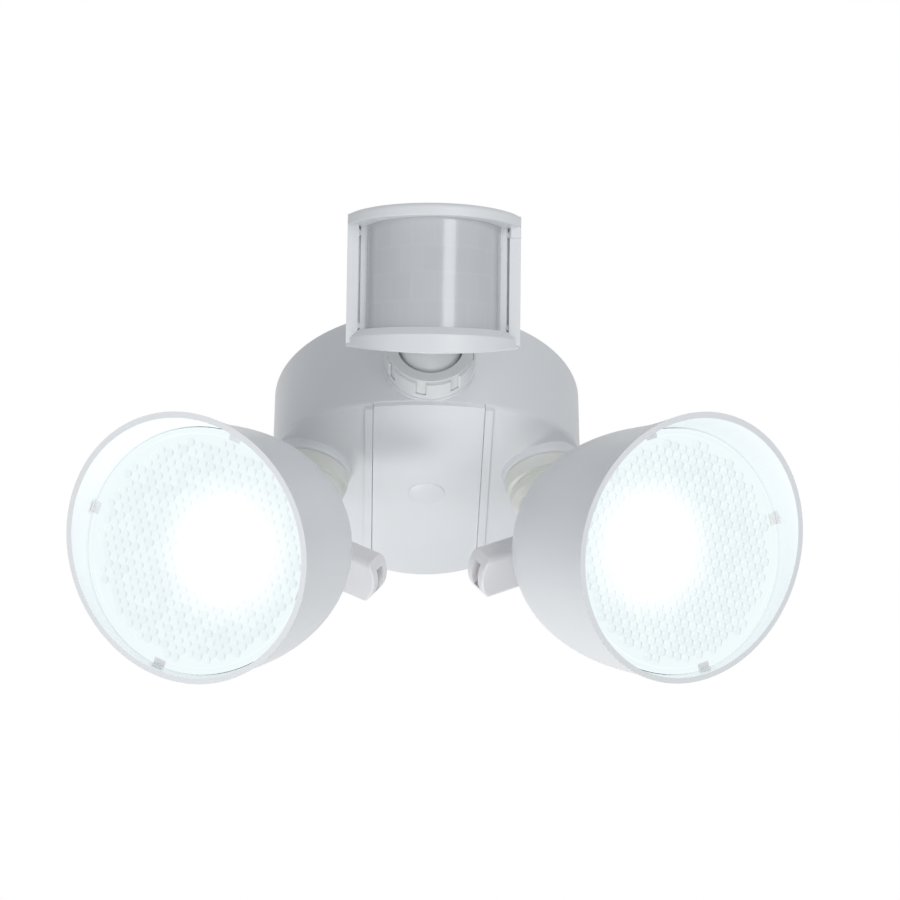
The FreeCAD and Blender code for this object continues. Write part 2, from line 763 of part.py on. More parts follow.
def arm_place(side):
    swivel = FreeCAD.Placement(ORIGIN, FreeCAD.Rotation(Z_AXIS, swivel_rest[side]))
    return arm_frame().multiply(swivel)


def hinge_place(side):
    """Hinge on the arm: X along the bolt, inboard."""
    hinge = FreeCAD.Placement(V(0, 0, arm_length), FreeCAD.Rotation(Y_AXIS, -hinge_lean))
    return arm_place(side).multiply(hinge)


def head_place(side):
    """Head: Z out through the lens, X along the bolt, -Y towards the long lip."""
    tilt = FreeCAD.Placement(ORIGIN, FreeCAD.Rotation(X_AXIS, tilt_rest[side]))
    return hinge_place(side).multiply(tilt)


def lock_ring(side):
    start = boss_rise + fit_gap
    body = turned([(spigot_r + pin_gap, start), (ring_r, start), (ring_r, start + 0.42 * ring_len),
                   (ring_r - ring_groove, start + 0.5 * ring_len), (ring_r - 0.6, start + 0.58 * ring_len),
                   (ring_r - 0.6, start + 0.8 * ring_len), (ring_r - 3.2, start + ring_len),
                   (neck_r + fit_gap, start + ring_len), (neck_r + fit_gap, ring_lip_z),
                   (spigot_r + pin_gap, ring_lip_z)])
    return placed(body, arm_frame())


spigot_top = boss_rise + spigot_len
ring_lip_z = spigot_top + arm_flange_h + 2 * fit_gap


def swivel_arm(side):
    flange = disc(arm_flange_r, arm_flange_h, spigot_top + fit_gap)
    plug = disc(neck_r - 0.5 - fit_gap, 6.0, spigot_top - 6.0 + fit_gap)
    neck_top = arm_length - ear_r - neck_stop
    neck = disc(neck_r, neck_top - spigot_top - fit_gap, spigot_top + fit_gap)
    knuckle = along_x(knuckle_r, -knuckle_half, knuckle_half)
    cheek = bar(2 * knuckle_half, 2 * knuckle_r, 2 * knuckle_r, z=-2 * knuckle_r)
    lean = FreeCAD.Placement(V(0, 0, arm_length), FreeCAD.Rotation(Y_AXIS, -hinge_lean))
    cheek = placed(cheek, lean).common(disc(neck_r + 1.2, arm_length, ring_lip_z + ring_len * 0.5))
    bore = placed(along_x(hinge_bolt_r + pin_gap, -past, past), lean)
    wire = disc(wire_bore_r, arm_length - knuckle_r - 6, 0)
    return placed(less(union([flange, plug, neck, placed(knuckle, lean), cheek]), [bore, wire]), arm_place(side))


def slanted_cut():
    """Everything ahead of the slanted rim."""
    block = bar(6 * rim_r, 6 * rim_r, 4 * rim_r)
    block.rotate(ORIGIN, X_AXIS, -rim_slant)
    block.translate(V(0, 0, head_length))
    return block


def shade(side):
    front = head_length + mouth_extra
    solid = shade_solid(0.0, front, back_z)
    ears = []
    for end in (-1, 1):
        low = min(end * ear_half_in, end * ear_outer_x)
        barrel = along_x(ear_r, low, low + ear_thick)
        root = Part.makeBox(ear_thick, 2 * ear_r, back_z + 4.0, V(low, -ear_r, 0))
        ears += [barrel, root]
    hollow = shade_solid(shade_wall, front + 1.0, back_z + shade_wall)
    ledge = shade_solid(shade_wall / 2, front, back_z + 1)
    ledge = ledge.common(ring(2 * rim_r, lens_r - ledge_w, ledge_h, ledge_front - ledge_h))
    body = union([solid] + ears).cut(hollow)
    body = union([body, ledge])
    wire = Part.makeCylinder(wire_bore_r, 8, V(0, ear_r + 4, back_z - 2))
    bore = along_x(hinge_bolt_r + pin_gap, -past, past)
    return placed(less(body, [slanted_cut(), wire, bore]), head_place(side))


def heat_sink(side):
    base = back_z + shade_wall
    top = led_z - board_thick
    core = disc(sink_core_r, top - base, base)
    plate = disc(led_board_r + 2, 3.0, top - 3.0)
    fin = bar(sink_r - sink_core_r + 1, sink_fin_thick, top - base - 4.0, x=(sink_r + sink_core_r) / 2, z=base)
    sink = union([core, plate] + around(fin, sink_fin_count))
    return placed(sink, head_place(side))


def led_board(side):
    board = disc(led_board_r, board_thick, led_z - board_thick)
    source = turned([(led_r, led_z), (led_r * 0.9, led_z + 1.6), (0, led_z + 2.2), (0, led_z)])
    return placed(union([board, source]), head_place(side))


def reflector(side):
    """Cup that spreads from the source to the lens, with a flange on the shade's ledge."""
    wall = reflector_wall
    throat = led_r + 2.0
    mouth = lens_r - ledge_w - 1.0
    low = led_z + 0.3
    waist = (throat + mouth) * 0.62
    mid = (low + ledge_front) / 2
    outline = [(throat, low), (waist, mid), (mouth - wall, ledge_front), (mouth - wall, gasket_back),
               (lens_r - 1.0, gasket_back), (lens_r - 1.0, ledge_front), (mouth, ledge_front),
               (waist + wall, mid - wall), (throat + wall, low)]
    return placed(turned(outline), head_place(side))


def lens_gasket(side):
    return placed(ring(lens_r - 0.5, lens_r - ledge_w, lens_gasket_h, gasket_back), head_place(side))


def lens(side):
    disc_part = disc(lens_r, lens_thick - prism_depth, lens_back)
    rim = ring(lens_r, prism_r + 1.0, prism_depth, lens_front - prism_depth)
    prism = turned([(0, lens_front - prism_depth - 0.1), (prism_r, lens_front - prism_depth - 0.1),
                    (prism_r - 0.5, lens_front), (0, lens_front + prism_crown)])
    return placed(union([disc_part, rim, prism]), head_place(side))


def lens_clips(side):
    """Small springs that hold the lens down, each bent over its edge."""
    outer = inner_radius(lens_front) - seat_gap / 2
    clip = bar(clip_reach, clip_width, clip_thick, x=outer - clip_reach / 2 - 0.3, z=lens_front)
    tab = bar(clip_thick, clip_width, clip_rise, x=outer - clip_thick / 2 - 0.3, z=lens_front)
    return placed(Part.makeCompound(around(union([clip, tab]), clip_count)), head_place(side))


def hinge_bolt(side):
    head = along_x(hinge_head_r, -ear_outer_x - hinge_head_h, -ear_outer_x)
    shank = along_x(hinge_bolt_r, -ear_outer_x, knob_x + insert_len)
    head = head.makeFillet(1.2, [e for e in head.Edges if e.BoundBox.XMax < -ear_outer_x - 1])
    return placed(union([head, shank]), head_place(side))


def knob_insert(side):
    insert = along_x(insert_r, knob_x, knob_x + insert_len)
    return placed(insert.cut(along_x(hinge_bolt_r + pin_gap, 0, past)), head_place(side))


def paddle_knob(side):
    """Flat wing with a cored slot in its end, on a round hub."""
    block = Part.makeBox(knob_length, knob_height, knob_thick, V(knob_x, -knob_height / 2, -knob_thick / 2))
    long_edges = [e for e in block.Edges if abs(e.Length - knob_length) < 0.01]
    block = block.makeFillet(knob_corner, long_edges)
    end_x = knob_x + knob_length
    crown = Part.makeCylinder(knob_end_r, 2 * knob_thick, V(end_x - knob_end_r, 0, -knob_thick), Z_AXIS)
    nose = bar(knob_end_r, 2 * knob_end_r, 2 * knob_thick, x=end_x, z=-knob_thick)
    block = block.cut(nose.cut(crown))
    end_edges = [e for e in block.Edges if e.BoundBox.XMin > end_x - 0.6 * knob_end_r]
    block = block.makeFillet(knob_end_round, end_edges)
    slot = Part.makeBox(knob_slot_depth + 1, knob_height - 2 * knob_slot_rim, knob_slot_w,
                        V(end_x - knob_slot_depth, -knob_height / 2 + knob_slot_rim, -knob_slot_w / 2))
    pocket = along_x(insert_r, knob_x - 1, knob_x + insert_len)
    bore = along_x(hinge_bolt_r + fit_gap, knob_x, knob_x + insert_len + 1.0)
    knob = spun(less(block, [slot, pocket, bore]), knob_turn, X_AXIS)
    return placed(knob, head_place(side))


# ---------------------------------------------------------------- the whole light

nodes = {
    "canopy_housing": canopy_housing(),
    "centre_cover": centre_cover(),
    "bolt_plug": bolt_plug(),
    "wall_gasket": wall_gasket(),
    "mounting_bar": mounting_bar(),
    "bar_bolt": bar_bolt(),
    "bar_nut": bar_nut(),
    "ground_screw": ground_screw(),
    "control_board": control_board(),
    "board_screws": board_screws(),
    "board_parts": board_parts(),
    "terminal_block": terminal_block(),
    "sensor_collar": sensor_collar(),
    "ball_bush": ball_bush(),
    "sensor_lock_nut": sensor_lock_nut(),
    "ball_arm": ball_arm(),
    "sensor_rear_shell": sensor_rear_shell(),
    "sensor_front_shell": sensor_front_shell(),
    "sensor_lens": sensor_lens(),
    "sensor_board": sensor_board(),
    "pyro_detector": pyro_detector(),
    "photocell": photocell(),
    "sensor_screws": sensor_screws(),
    "clamp_bolt": clamp_bolt(),
    "clamp_nut": clamp_nut(),
}
for switch_name, switch_x in switch_places().items():
    nodes[switch_name] = slide_switch(switch_x)

lamp_pieces = (lock_ring, swivel_arm, shade, heat_sink, led_board, reflector, lens_gasket, lens, lens_clips,
               hinge_bolt, knob_insert, paddle_knob)
for side in ("left", "right"):
    for make_piece in lamp_pieces:
        piece = make_piece(side)
        if side == "left":
            piece = piece.mirror(ORIGIN, X_AXIS)
        nodes[side + "_" + make_piece.__name__] = piece

os.makedirs("parts", exist_ok=True)
for name, shape in nodes.items():
    shape.exportStep("parts/" + name + ".step")
    if not shape.isValid():
        print("not valid:", name)
print(len(nodes), "pieces")
for side in ("left", "right"):
    for label, frame in (("arm", arm_place(side)), ("head", head_place(side))):
        flip = -1 if side == "left" else 1
        origin = frame.Base
        x_dir = frame.Rotation.multVec(X_AXIS)
        z_dir = frame.Rotation.multVec(Z_AXIS)
        print(side, label, [round(flip * origin.x, 3), round(origin.y, 3), round(origin.z, 3)],
              "x", [round(flip * x_dir.x, 5), round(x_dir.y, 5), round(x_dir.z, 5)],
              "z", [round(flip * z_dir.x, 5), round(z_dir.y, 5), round(z_dir.z, 5)])
print("sensor hinge", clamp_centre())
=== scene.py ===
import math

import bmesh
import bpy
from mathutils import Matrix, Vector


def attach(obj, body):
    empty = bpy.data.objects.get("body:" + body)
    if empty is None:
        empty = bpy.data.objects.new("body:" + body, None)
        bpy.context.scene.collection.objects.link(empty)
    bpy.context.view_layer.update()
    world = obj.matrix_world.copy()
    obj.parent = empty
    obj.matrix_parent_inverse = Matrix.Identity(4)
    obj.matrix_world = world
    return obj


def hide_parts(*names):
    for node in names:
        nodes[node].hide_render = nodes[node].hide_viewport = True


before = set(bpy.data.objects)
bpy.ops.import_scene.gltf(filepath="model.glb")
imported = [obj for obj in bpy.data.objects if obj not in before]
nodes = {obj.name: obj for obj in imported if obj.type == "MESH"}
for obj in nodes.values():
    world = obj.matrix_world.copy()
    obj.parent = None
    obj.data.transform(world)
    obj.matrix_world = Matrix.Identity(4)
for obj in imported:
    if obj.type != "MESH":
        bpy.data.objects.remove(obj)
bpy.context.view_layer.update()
print("frame loaded:", len(nodes), "pieces")

mm = 0.001
sharpAngle = 40.0    # degrees between faces above which an added piece keeps an edge


def newGroup(name, inputs, outputs):
    group = bpy.data.node_groups.new(name, "ShaderNodeTree")
    for label, kind, value in inputs:
        socket = group.interface.new_socket(name=label, in_out="INPUT", socket_type=kind)
        socket.default_value = value
    for label, kind in outputs:
        group.interface.new_socket(name=label, in_out="OUTPUT", socket_type=kind)
    entry = group.nodes.new("NodeGroupInput")
    leave = group.nodes.new("NodeGroupOutput")
    return group, entry, leave


def addNode(tree, kind, inputs=None, **properties):
    # an input that is a socket gets linked, any other is set as a value
    node = tree.nodes.new(kind)
    for key, value in properties.items():
        setattr(node, key, value)
    for key, value in (inputs or {}).items():
        if isinstance(value, bpy.types.NodeSocket):
            tree.links.new(value, node.inputs[key])
        else:
            node.inputs[key].default_value = value
    return node


def mathNode(tree, operation, *values, clamp=False):
    inputs = dict(enumerate(values))
    node = addNode(tree, "ShaderNodeMath", inputs, operation=operation, use_clamp=clamp)
    return node.outputs["Value"]


def vectorNode(tree, operation, first, second=None, scale=None):
    inputs = {0: first}
    if second is not None:
        inputs[1] = second
    if scale is not None:
        inputs["Scale"] = scale
    node = addNode(tree, "ShaderNodeVectorMath", inputs, operation=operation)
    return node.outputs["Value" if operation == "DOT_PRODUCT" else "Vector"]


def colourMix(tree, factor, first, second, blend="MIX"):
    inputs = {"Factor": factor, "A": first, "B": second}
    node = addNode(tree, "ShaderNodeMix", inputs, data_type="RGBA", blend_type=blend)
    return node.outputs["Result"]


def attributeMask(tree, name):
    return addNode(tree, "ShaderNodeAttribute", attribute_name=name).outputs["Fac"]


skinLook = {
    "grain": {"Detail": 3.0, "Roughness": 0.55},
    "cloud": {"Detail": 4.0, "Roughness": 0.6},
    "cloudMean": 0.5,
    "roughnessSwing": 0.16,    # how far the clouds move the roughness
    "bumpDistance": 0.0004,
}


def mouldedSkinGroup():
    # the faint orange peel and the flow clouds of a moulded white plastic
    group, entry, leave = newGroup(
        "mouldedSkin",
        [("Colour", "NodeSocketColor", (0.8, 0.8, 0.8, 1)),
         ("Grain Size", "NodeSocketFloat", 900.0),
         ("Cloud Size", "NodeSocketFloat", 22.0),
         ("Cloud Amount", "NodeSocketFloat", 0.05),
         ("Roughness", "NodeSocketFloat", 0.4)],
        [("Colour", "NodeSocketColor"), ("Roughness", "NodeSocketFloat"),
         ("Height", "NodeSocketFloat")])
    given = entry.outputs
    where = addNode(group, "ShaderNodeTexCoord").outputs["Object"]
    grain = addNode(group, "ShaderNodeTexNoise",
                    {"Vector": where, "Scale": given["Grain Size"], **skinLook["grain"]})
    cloud = addNode(group, "ShaderNodeTexNoise",
                    {"Vector": where, "Scale": given["Cloud Size"], **skinLook["cloud"]})
    centred = mathNode(group, "SUBTRACT", cloud.outputs["Fac"], skinLook["cloudMean"])
    amount = mathNode(group, "MULTIPLY_ADD", centred, given["Cloud Amount"], 1.0)
    colour = vectorNode(group, "SCALE", given["Colour"], scale=amount)
    rough = mathNode(group, "MULTIPLY_ADD", centred, skinLook["roughnessSwing"],
                     given["Roughness"])
    group.links.new(colour, leave.inputs["Colour"])
    group.links.new(rough, leave.inputs["Roughness"])
    group.links.new(grain.outputs["Fac"], leave.inputs["Height"])
    return group


mouldedSkin = mouldedSkinGroup()

hoodFacing = {"From Min": -0.4, "From Max": -0.75}    # -1 looks straight at the lens's axis


def hoodLightGroup():
    # painted light: a mask for where the inside of a lamp's hood would catch the light of its
    # lens
    group, entry, leave = newGroup(
        "hoodLight",
        [("Hinge", "NodeSocketVector", (0, 0, 0)),
         ("Lens Direction", "NodeSocketVector", (0, 0, 1)),
         ("Start", "NodeSocketFloat", 0.09),
         ("Run", "NodeSocketFloat", 0.004)],
        [("Mask", "NodeSocketFloat")])
    given = entry.outputs
    where = addNode(group, "ShaderNodeTexCoord").outputs
    fromHinge = vectorNode(group, "SUBTRACT", where["Object"], given["Hinge"])
    along = vectorNode(group, "DOT_PRODUCT", fromHinge, given["Lens Direction"])
    onAxis = vectorNode(group, "SCALE", given["Lens Direction"], scale=along)
    offAxis = vectorNode(group, "SUBTRACT", fromHinge, onAxis)
    outward = vectorNode(group, "NORMALIZE", offAxis)
    facing = vectorNode(group, "DOT_PRODUCT", outward, where["Normal"])
    inner = addNode(group, "ShaderNodeMapRange", {"Value": facing, **hoodFacing},
                    interpolation_type="SMOOTHSTEP")
    past = mathNode(group, "SUBTRACT", along, given["Start"])
    ahead = mathNode(group, "DIVIDE", past, given["Run"], clamp=True)
    mask = mathNode(group, "MULTIPLY", inner.outputs["Result"], ahead)
    group.links.new(mask, leave.inputs["Mask"])
    return group


hoodLight = hoodLightGroup()


def startMaterial(name):
    material = bpy.data.materials.new(name)
    material.use_nodes = True
    return material, material.node_tree.nodes["Principled BSDF"]


def setInputs(node, values):
    for key, value in values.items():
        node.inputs[key].default_value = value


def addSkin(tree, principled, colour, roughness, grain, cloud, bump, distance):
    # gives back the skin's colour, which the material links on
    inputs = {"Colour": (*colour, 1), "Grain Size": grain, "Cloud Amount": cloud,
              "Roughness": roughness}
    skin = addNode(tree, "ShaderNodeGroup", inputs, node_tree=mouldedSkin).outputs
    raised = addNode(tree, "ShaderNodeBump",
                     {"Height": skin["Height"], "Strength": bump, "Distance": distance})
    tree.links.new(skin["Roughness"], principled.inputs["Roughness"])
    tree.links.new(raised.outputs["Normal"], principled.inputs["Normal"])
    return skin["Colour"]


def skinMaterial(name, colour, roughness, grain=900.0, bump=0.06, cloud=0.05, metallic=0.0,
                 coat=0.0):
    material, principled = startMaterial(name)
    tree = material.node_tree
    tint = addSkin(tree, principled, colour, roughness, grain, cloud, bump,
                   skinLook["bumpDistance"])
    tree.links.new(tint, principled.inputs["Base Color"])
    setInputs(principled, {"Metallic": metallic, "Coat Weight": coat})
    return material


housingColour = (0.80, 0.815, 0.83)
housingRoughness = 0.42

finishes = {
    "housing": skinMaterial("whiteHousing", housingColour, housingRoughness),
    "joint": skinMaterial("whiteJoint", (0.79, 0.80, 0.80), 0.36),
    "nylon": skinMaterial("naturalNylon", (0.76, 0.75, 0.70), 0.5),
    "cream": skinMaterial("creamRing", (0.79, 0.80, 0.755), 0.4),
    "knob": skinMaterial("knobPlastic", (0.815, 0.808, 0.822), 0.34),
    "paintedSteel": skinMaterial("paintedScrews", (0.78, 0.79, 0.80), 0.4),
    "clip": skinMaterial("clipPlastic", (0.80, 0.81, 0.81), 0.3),
    "silicone": skinMaterial("lensSeal", (0.78, 0.80, 0.80), 0.5),
    "rubber": skinMaterial("gasketRubber", (0.05, 0.05, 0.05), 0.8, grain=500, bump=0.3),
    "steel": skinMaterial("zincSteel", (0.62, 0.62, 0.60), 0.32, metallic=1.0, cloud=0.2),
    "greenSteel": skinMaterial("greenScrew", (0.08, 0.30, 0.12), 0.35, metallic=0.6),
    "brass": skinMaterial("brassInsert", (0.72, 0.55, 0.25), 0.3, metallic=1.0, cloud=0.2),
    "board": skinMaterial("circuitBoard", (0.03, 0.16, 0.06), 0.45, coat=0.4),
    "dark": skinMaterial("darkParts", (0.03, 0.03, 0.035), 0.45),
    "can": skinMaterial("detectorCan", (0.60, 0.58, 0.52), 0.28, metallic=1.0),
    "aluminium": skinMaterial("sinkAluminium", (0.70, 0.71, 0.72), 0.38, metallic=1.0,
                              cloud=0.15),
    "reflector": skinMaterial("reflectorWhite", (0.88, 0.89, 0.90), 0.3),
    "slider": skinMaterial("sliderPlastic", (0.10, 0.10, 0.11), 0.4),
}

pieceFinish = {
    "canopy_housing": "housing", "centre_cover": "housing", "bolt_plug": "housing",
    "wall_gasket": "rubber", "mounting_bar": "steel", "bar_bolt": "steel", "bar_nut": "steel",
    "ground_screw": "greenSteel", "control_board": "board", "board_screws": "steel",
    "board_parts": "dark", "terminal_block": "dark", "sensor_collar": "housing",
    "ball_bush": "nylon", "sensor_lock_nut": "joint", "ball_arm": "joint",
    "sensor_rear_shell": "housing", "sensor_front_shell": "housing", "sensor_lens": "housing",
    "sensor_board": "board", "pyro_detector": "can", "photocell": "dark",
    "sensor_screws": "paintedSteel", "clamp_bolt": "steel", "clamp_nut": "steel",
    "range_switch": "slider", "time_switch": "slider",
}
lampFinish = {
    "lock_ring": "cream", "swivel_arm": "joint", "shade": "housing", "heat_sink": "aluminium",
    "led_board": "board", "reflector": "reflector", "lens_gasket": "silicone",
    "lens": "reflector", "lens_clips": "clip", "hinge_bolt": "steel", "knob_insert": "brass",
    "paddle_knob": "knob",
}
for side in ("left", "right"):
    for piece, finish in lampFinish.items():
        pieceFinish[side + "_" + piece] = finish

for name, node in nodes.items():
    node.data.materials.clear()
    node.data.materials.append(finishes[pieceFinish[name]])
print("finishes on")

lampFrames = {    # where each head's hinge lies, and which way its bolt and its lens point
    "left": {
        "hinge": (-59.727, -11.0, -83.852),
        "bolt": (0.86949, -0.10038, -0.48364),
        "lens": (-0.38608, -0.74885, -0.53867),
    },
    "right": {
        "hinge": (59.727, -11.0, -83.852),
        "bolt": (-0.85062, -0.21602, -0.47936),
        "lens": (0.46492, -0.73481, -0.49386),
    },
}


def headMatrix(side):
    head = lampFrames[side]
    xDir = Vector(head["bolt"]).normalized()
    zDir = Vector(head["lens"]).normalized()
    yDir = zDir.cross(xDir)
    if side == "left":
        yDir = -yDir    # the left lamp is the right one mirrored
    turn = Matrix((xDir, yDir, zDir)).transposed().to_4x4()
    return Matrix.Translation(Vector(head["hinge"]) * mm) @ turn


def meshObject(name, shape, matrix, material):
    # millimetres in the piece's own frame become metres in the light's frame
    shape.transform(matrix @ Matrix.Scale(mm, 4))
    bmesh.ops.recalc_face_normals(shape, faces=shape.faces)
    mesh = bpy.data.meshes.new(name)
    for face in shape.faces:
        face.smooth = True
    shape.to_mesh(mesh)
    shape.free()
    mesh.materials.append(material)
    mesh.set_sharp_from_angle(angle=math.radians(sharpAngle))
    thing = bpy.data.objects.new(name, mesh)
    bpy.context.collection.objects.link(thing)
    return thing


def turnProfile(shape, profile, steps):
    # revolves (radius, z) points about Z; a radius of 0 closes in one point
    rings = []
    for radius, z in profile:
        if radius < 1e-6:
            rings.append([shape.verts.new((0, 0, z))])
            continue
        ring = []
        for k in range(steps):
            a = 2 * math.pi * k / steps
            ring.append(shape.verts.new((radius * math.cos(a), radius * math.sin(a), z)))
        rings.append(ring)
    for low, high in zip(rings, rings[1:]):
        for k in range(steps):
            n = (k + 1) % steps
            corners = [low[k % len(low)], low[n % len(low)],
                       high[n % len(high)], high[k % len(high)]]
            unique = []
            for vert in corners:
                if vert not in unique:
                    unique.append(vert)
            if len(unique) > 2:
                shape.faces.new(unique)


def smoothStep(low, high, value):
    t = min(1.0, max(0.0, (value - low) / (high - low)))
    return t * t * (3 - 2 * t)


def scatter(first, second, weights):
    # a repeatable value from 0 to 1 for a pair of whole numbers
    return (math.sin(first * weights[0] + second * weights[1]) * weights[2]) % 1.0


def arcRadius(half, rise):
    return (half ** 2 + rise ** 2) / (2 * rise)


lensShape = {
    "radius": 50.66,
    "front": 91.0,
    "back": 88.0,
    "steps": 160,
    "backEdge": ((-0.4, 0.0), (0.0, 0.4)),    # (outward, forward) from the rim's back corner
    "frontEdge": ((0.0, -0.7), (-0.2, -0.25), (-0.7, 0.0)),
    "groove": ((1.3, 0.0), (0.8, -0.3)),      # from the prism field's edge, at the front
    "grooveFoot": 0.5,
    "prismRadius": 47.5,
    "prismFloor": 90.1,
    "crown": 0.6,
    "crownRings": 12,
    "pitch": 4.0,                # across the flats of one pebble
    "rowShare": 0.8660254,       # from one row to the next, as a share of the pitch
    "pebbleRise": 0.75,
    "pebbleRings": ((0.4, 0.86), (0.75, 0.5), (0.99, 0.0)),    # shares of radius and rise
    "pebbleSides": 12,
    "pebbleSink": 0.02,          # keeps a pebble's foot clear of the floor
    "edgeMargin": 0.9,           # in corner radii
    "edgeShare": 0.866,          # a hexagon's edge lies closer in than its corners
    "cellHash": (12.9898, 78.233, 43758.5453),
    "spotPlace": (11.5, -5.2),   # the bright spot lies inboard of the lens's middle
    "spotRadius": 21.0,
    "spotFade": (0.25, 1.7),     # in spot radii
    "gridTurn": {"left": 56.0, "right": 29.5},       # how the pebble rows lie, in degrees
    "shadeSide": {"left": -20.8, "right": 165.0},    # the flank of a pebble that gets painted shade
    # how much of the painted shade the other flanks get
    "crossFlank": 0.15,
    "depth": {"left": 0.5, "right": 1.0},            # how strongly the painted shade on the pebbles shows
}

lensLook = {
    # glow colours from the lit top of a pebble to its painted shade
    "ramp": ((0.12, (0.835, 0.915, 0.925)), (0.9, (0.40, 0.45, 0.46))),
    "cellTint": (0.945, 0.95, 0.96),
    "spotGlow": (1.15, 1.15, 1.15),
    "body": (0.03, 0.03, 0.03),
    "roughness": 0.25,
    "specular": 0.3,
    # colour of the painted glow on the inside of each lamp's hood
    "hoodLight": {"left": (0.12, 0.14, 0.14), "right": (0.17, 0.195, 0.19)},
}


def lensMaterial():
    material, principled = startMaterial("prismLens")
    tree = material.node_tree
    # the lens's glow is darkened where the pebbles carry painted shade
    ramp = addNode(tree, "ShaderNodeValToRGB", {"Fac": attributeMask(tree, "paintedPebbleShade")})
    for stop, (position, colour) in zip(ramp.color_ramp.elements, lensLook["ramp"]):
        stop.position = position
        stop.color = (*colour, 1)
    speckle = colourMix(tree, attributeMask(tree, "cell"), ramp.outputs["Color"],
                        (*lensLook["cellTint"], 1), "MULTIPLY")
    glow = colourMix(tree, attributeMask(tree, "spot"), speckle, (*lensLook["spotGlow"], 1))
    tree.links.new(glow, principled.inputs["Emission Color"])
    setInputs(principled, {
        "Emission Strength": 1.0,
        "Base Color": (*lensLook["body"], 1),
        "Roughness": lensLook["roughness"],
        "Specular IOR Level": lensLook["specular"],
    })
    return material


def addPebble(shape, marks, side, place, own):
    # a rounded hexagon with painted shade towards its foot, most on one flank; its own value
    # varies the tint from pebble to pebble
    s = lensShape
    x, y, base = place
    cornerRadius = s["pitch"] / math.sqrt(3)
    turn = math.radians(s["gridTurn"][side])
    dark = math.radians(s["shadeSide"][side])
    sides = s["pebbleSides"]
    top = shape.verts.new((x, y, base + s["pebbleRise"]))
    top[marks["cell"]] = own
    last = [top]
    for share, rise in s["pebbleRings"]:
        ring = []
        for k in range(sides):
            a = 2 * math.pi * k / sides + math.pi / 6 + turn
            squeeze = 1.0
            if k % 2:
                squeeze = s["edgeShare"] + (1 - s["edgeShare"]) * (1 - share)
            radius = cornerRadius * share * squeeze
            vert = shape.verts.new((x + radius * math.cos(a), y + radius * math.sin(a),
                                    base + s["pebbleRise"] * rise))
            flank = max(0.0, math.cos(a - dark)) ** 2
            shadow = s["crossFlank"] + (1 - s["crossFlank"]) * flank
            # painted shade: deeper towards the pebble's foot and on its shaded flank
            vert[marks["paintedPebbleShade"]] = s["depth"][side] * (1.0 - rise) * shadow
            vert[marks["cell"]] = own
            ring.append(vert)
        for k in range(sides):
            n = (k + 1) % sides
            if len(last) == 1:
                shape.faces.new((top, ring[k], ring[n]))
            else:
                shape.faces.new((last[k], ring[k], ring[n], last[n]))
        last = ring


def makeLens(side, material):
    s = lensShape
    shape = bmesh.new()
    marks = {name: shape.verts.layers.float.new(name) for name in ("paintedPebbleShade", "spot", "cell")}

    def crownAt(radius):
        return s["crown"] * (1 - (radius / s["prismRadius"]) ** 2)

    profile = [(0, s["back"])]
    profile += [(s["radius"] + out, s["back"] + ahead) for out, ahead in s["backEdge"]]
    profile += [(s["radius"] + out, s["front"] + ahead) for out, ahead in s["frontEdge"]]
    profile += [(s["prismRadius"] + out, s["front"] + ahead) for out, ahead in s["groove"]]
    profile.append((s["prismRadius"] + s["grooveFoot"], s["prismFloor"]))
    for k in range(s["crownRings"]):
        radius = s["prismRadius"] * (1 - k / s["crownRings"])
        profile.append((radius, s["prismFloor"] + crownAt(radius)))
    profile.append((0, s["prismFloor"] + s["crown"]))
    turnProfile(shape, profile, s["steps"])

    step = s["pitch"]
    turn = math.radians(s["gridTurn"][side])
    reach = int(s["prismRadius"] / (step * s["rowShare"])) + 2
    limit = s["prismRadius"] - step / math.sqrt(3) * s["edgeMargin"]
    for row in range(-reach, reach + 1):
        for col in range(-reach - 2, reach + 3):
            along = col * step + (step / 2 if row % 2 else 0)
            over = row * step * s["rowShare"]
            x = along * math.cos(turn) - over * math.sin(turn)
            y = along * math.sin(turn) + over * math.cos(turn)
            far = math.hypot(x, y)
            if far <= limit:
                base = s["prismFloor"] + crownAt(far) + s["pebbleSink"]
                own = scatter(row, col, s["cellHash"])
                addPebble(shape, marks, side, (x, y, base), own)

    inner, outer = [s["spotRadius"] * share for share in s["spotFade"]]
    for vert in shape.verts:
        near = math.hypot(vert.co.x - s["spotPlace"][0], vert.co.y - s["spotPlace"][1])
        vert[marks["spot"]] = 1.0 - smoothStep(inner, outer, near)
    thing = meshObject(side + "LensPebbles", shape, headMatrix(side), material)
    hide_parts(side + "_lens")
    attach(thing, side + "_head")


def shadeMaterial(side):
    # the housing plastic, with painted light: a weak glow where the lens's light would fall
    # on the inside of its hood
    material = skinMaterial(side + "ShadePlastic", housingColour, housingRoughness)
    tree = material.node_tree
    principled = tree.nodes["Principled BSDF"]
    head = lampFrames[side]
    catch = addNode(tree, "ShaderNodeGroup", {
        "Hinge": Vector(head["hinge"]) * mm,
        "Lens Direction": Vector(head["lens"]).normalized(),
        "Start": lensShape["back"] * mm,
    }, node_tree=hoodLight)
    # painted light: the hood's inside glows in this colour where the mask is
    lit = colourMix(tree, catch.outputs["Mask"], (0, 0, 0, 1),
                    (*lensLook["hoodLight"][side], 1))
    tree.links.new(lit, principled.inputs["Emission Color"])
    principled.inputs["Emission Strength"].default_value = 1.0
    return material


lensGlow = lensMaterial()
for side in ("left", "right"):
    makeLens(side, lensGlow)
    nodes[side + "_shade"].data.materials[0] = shadeMaterial(side)
print("lenses made")

sensorPlace = {"origin": (0.0, -141.7, -40.5), "pitch": 27.0}

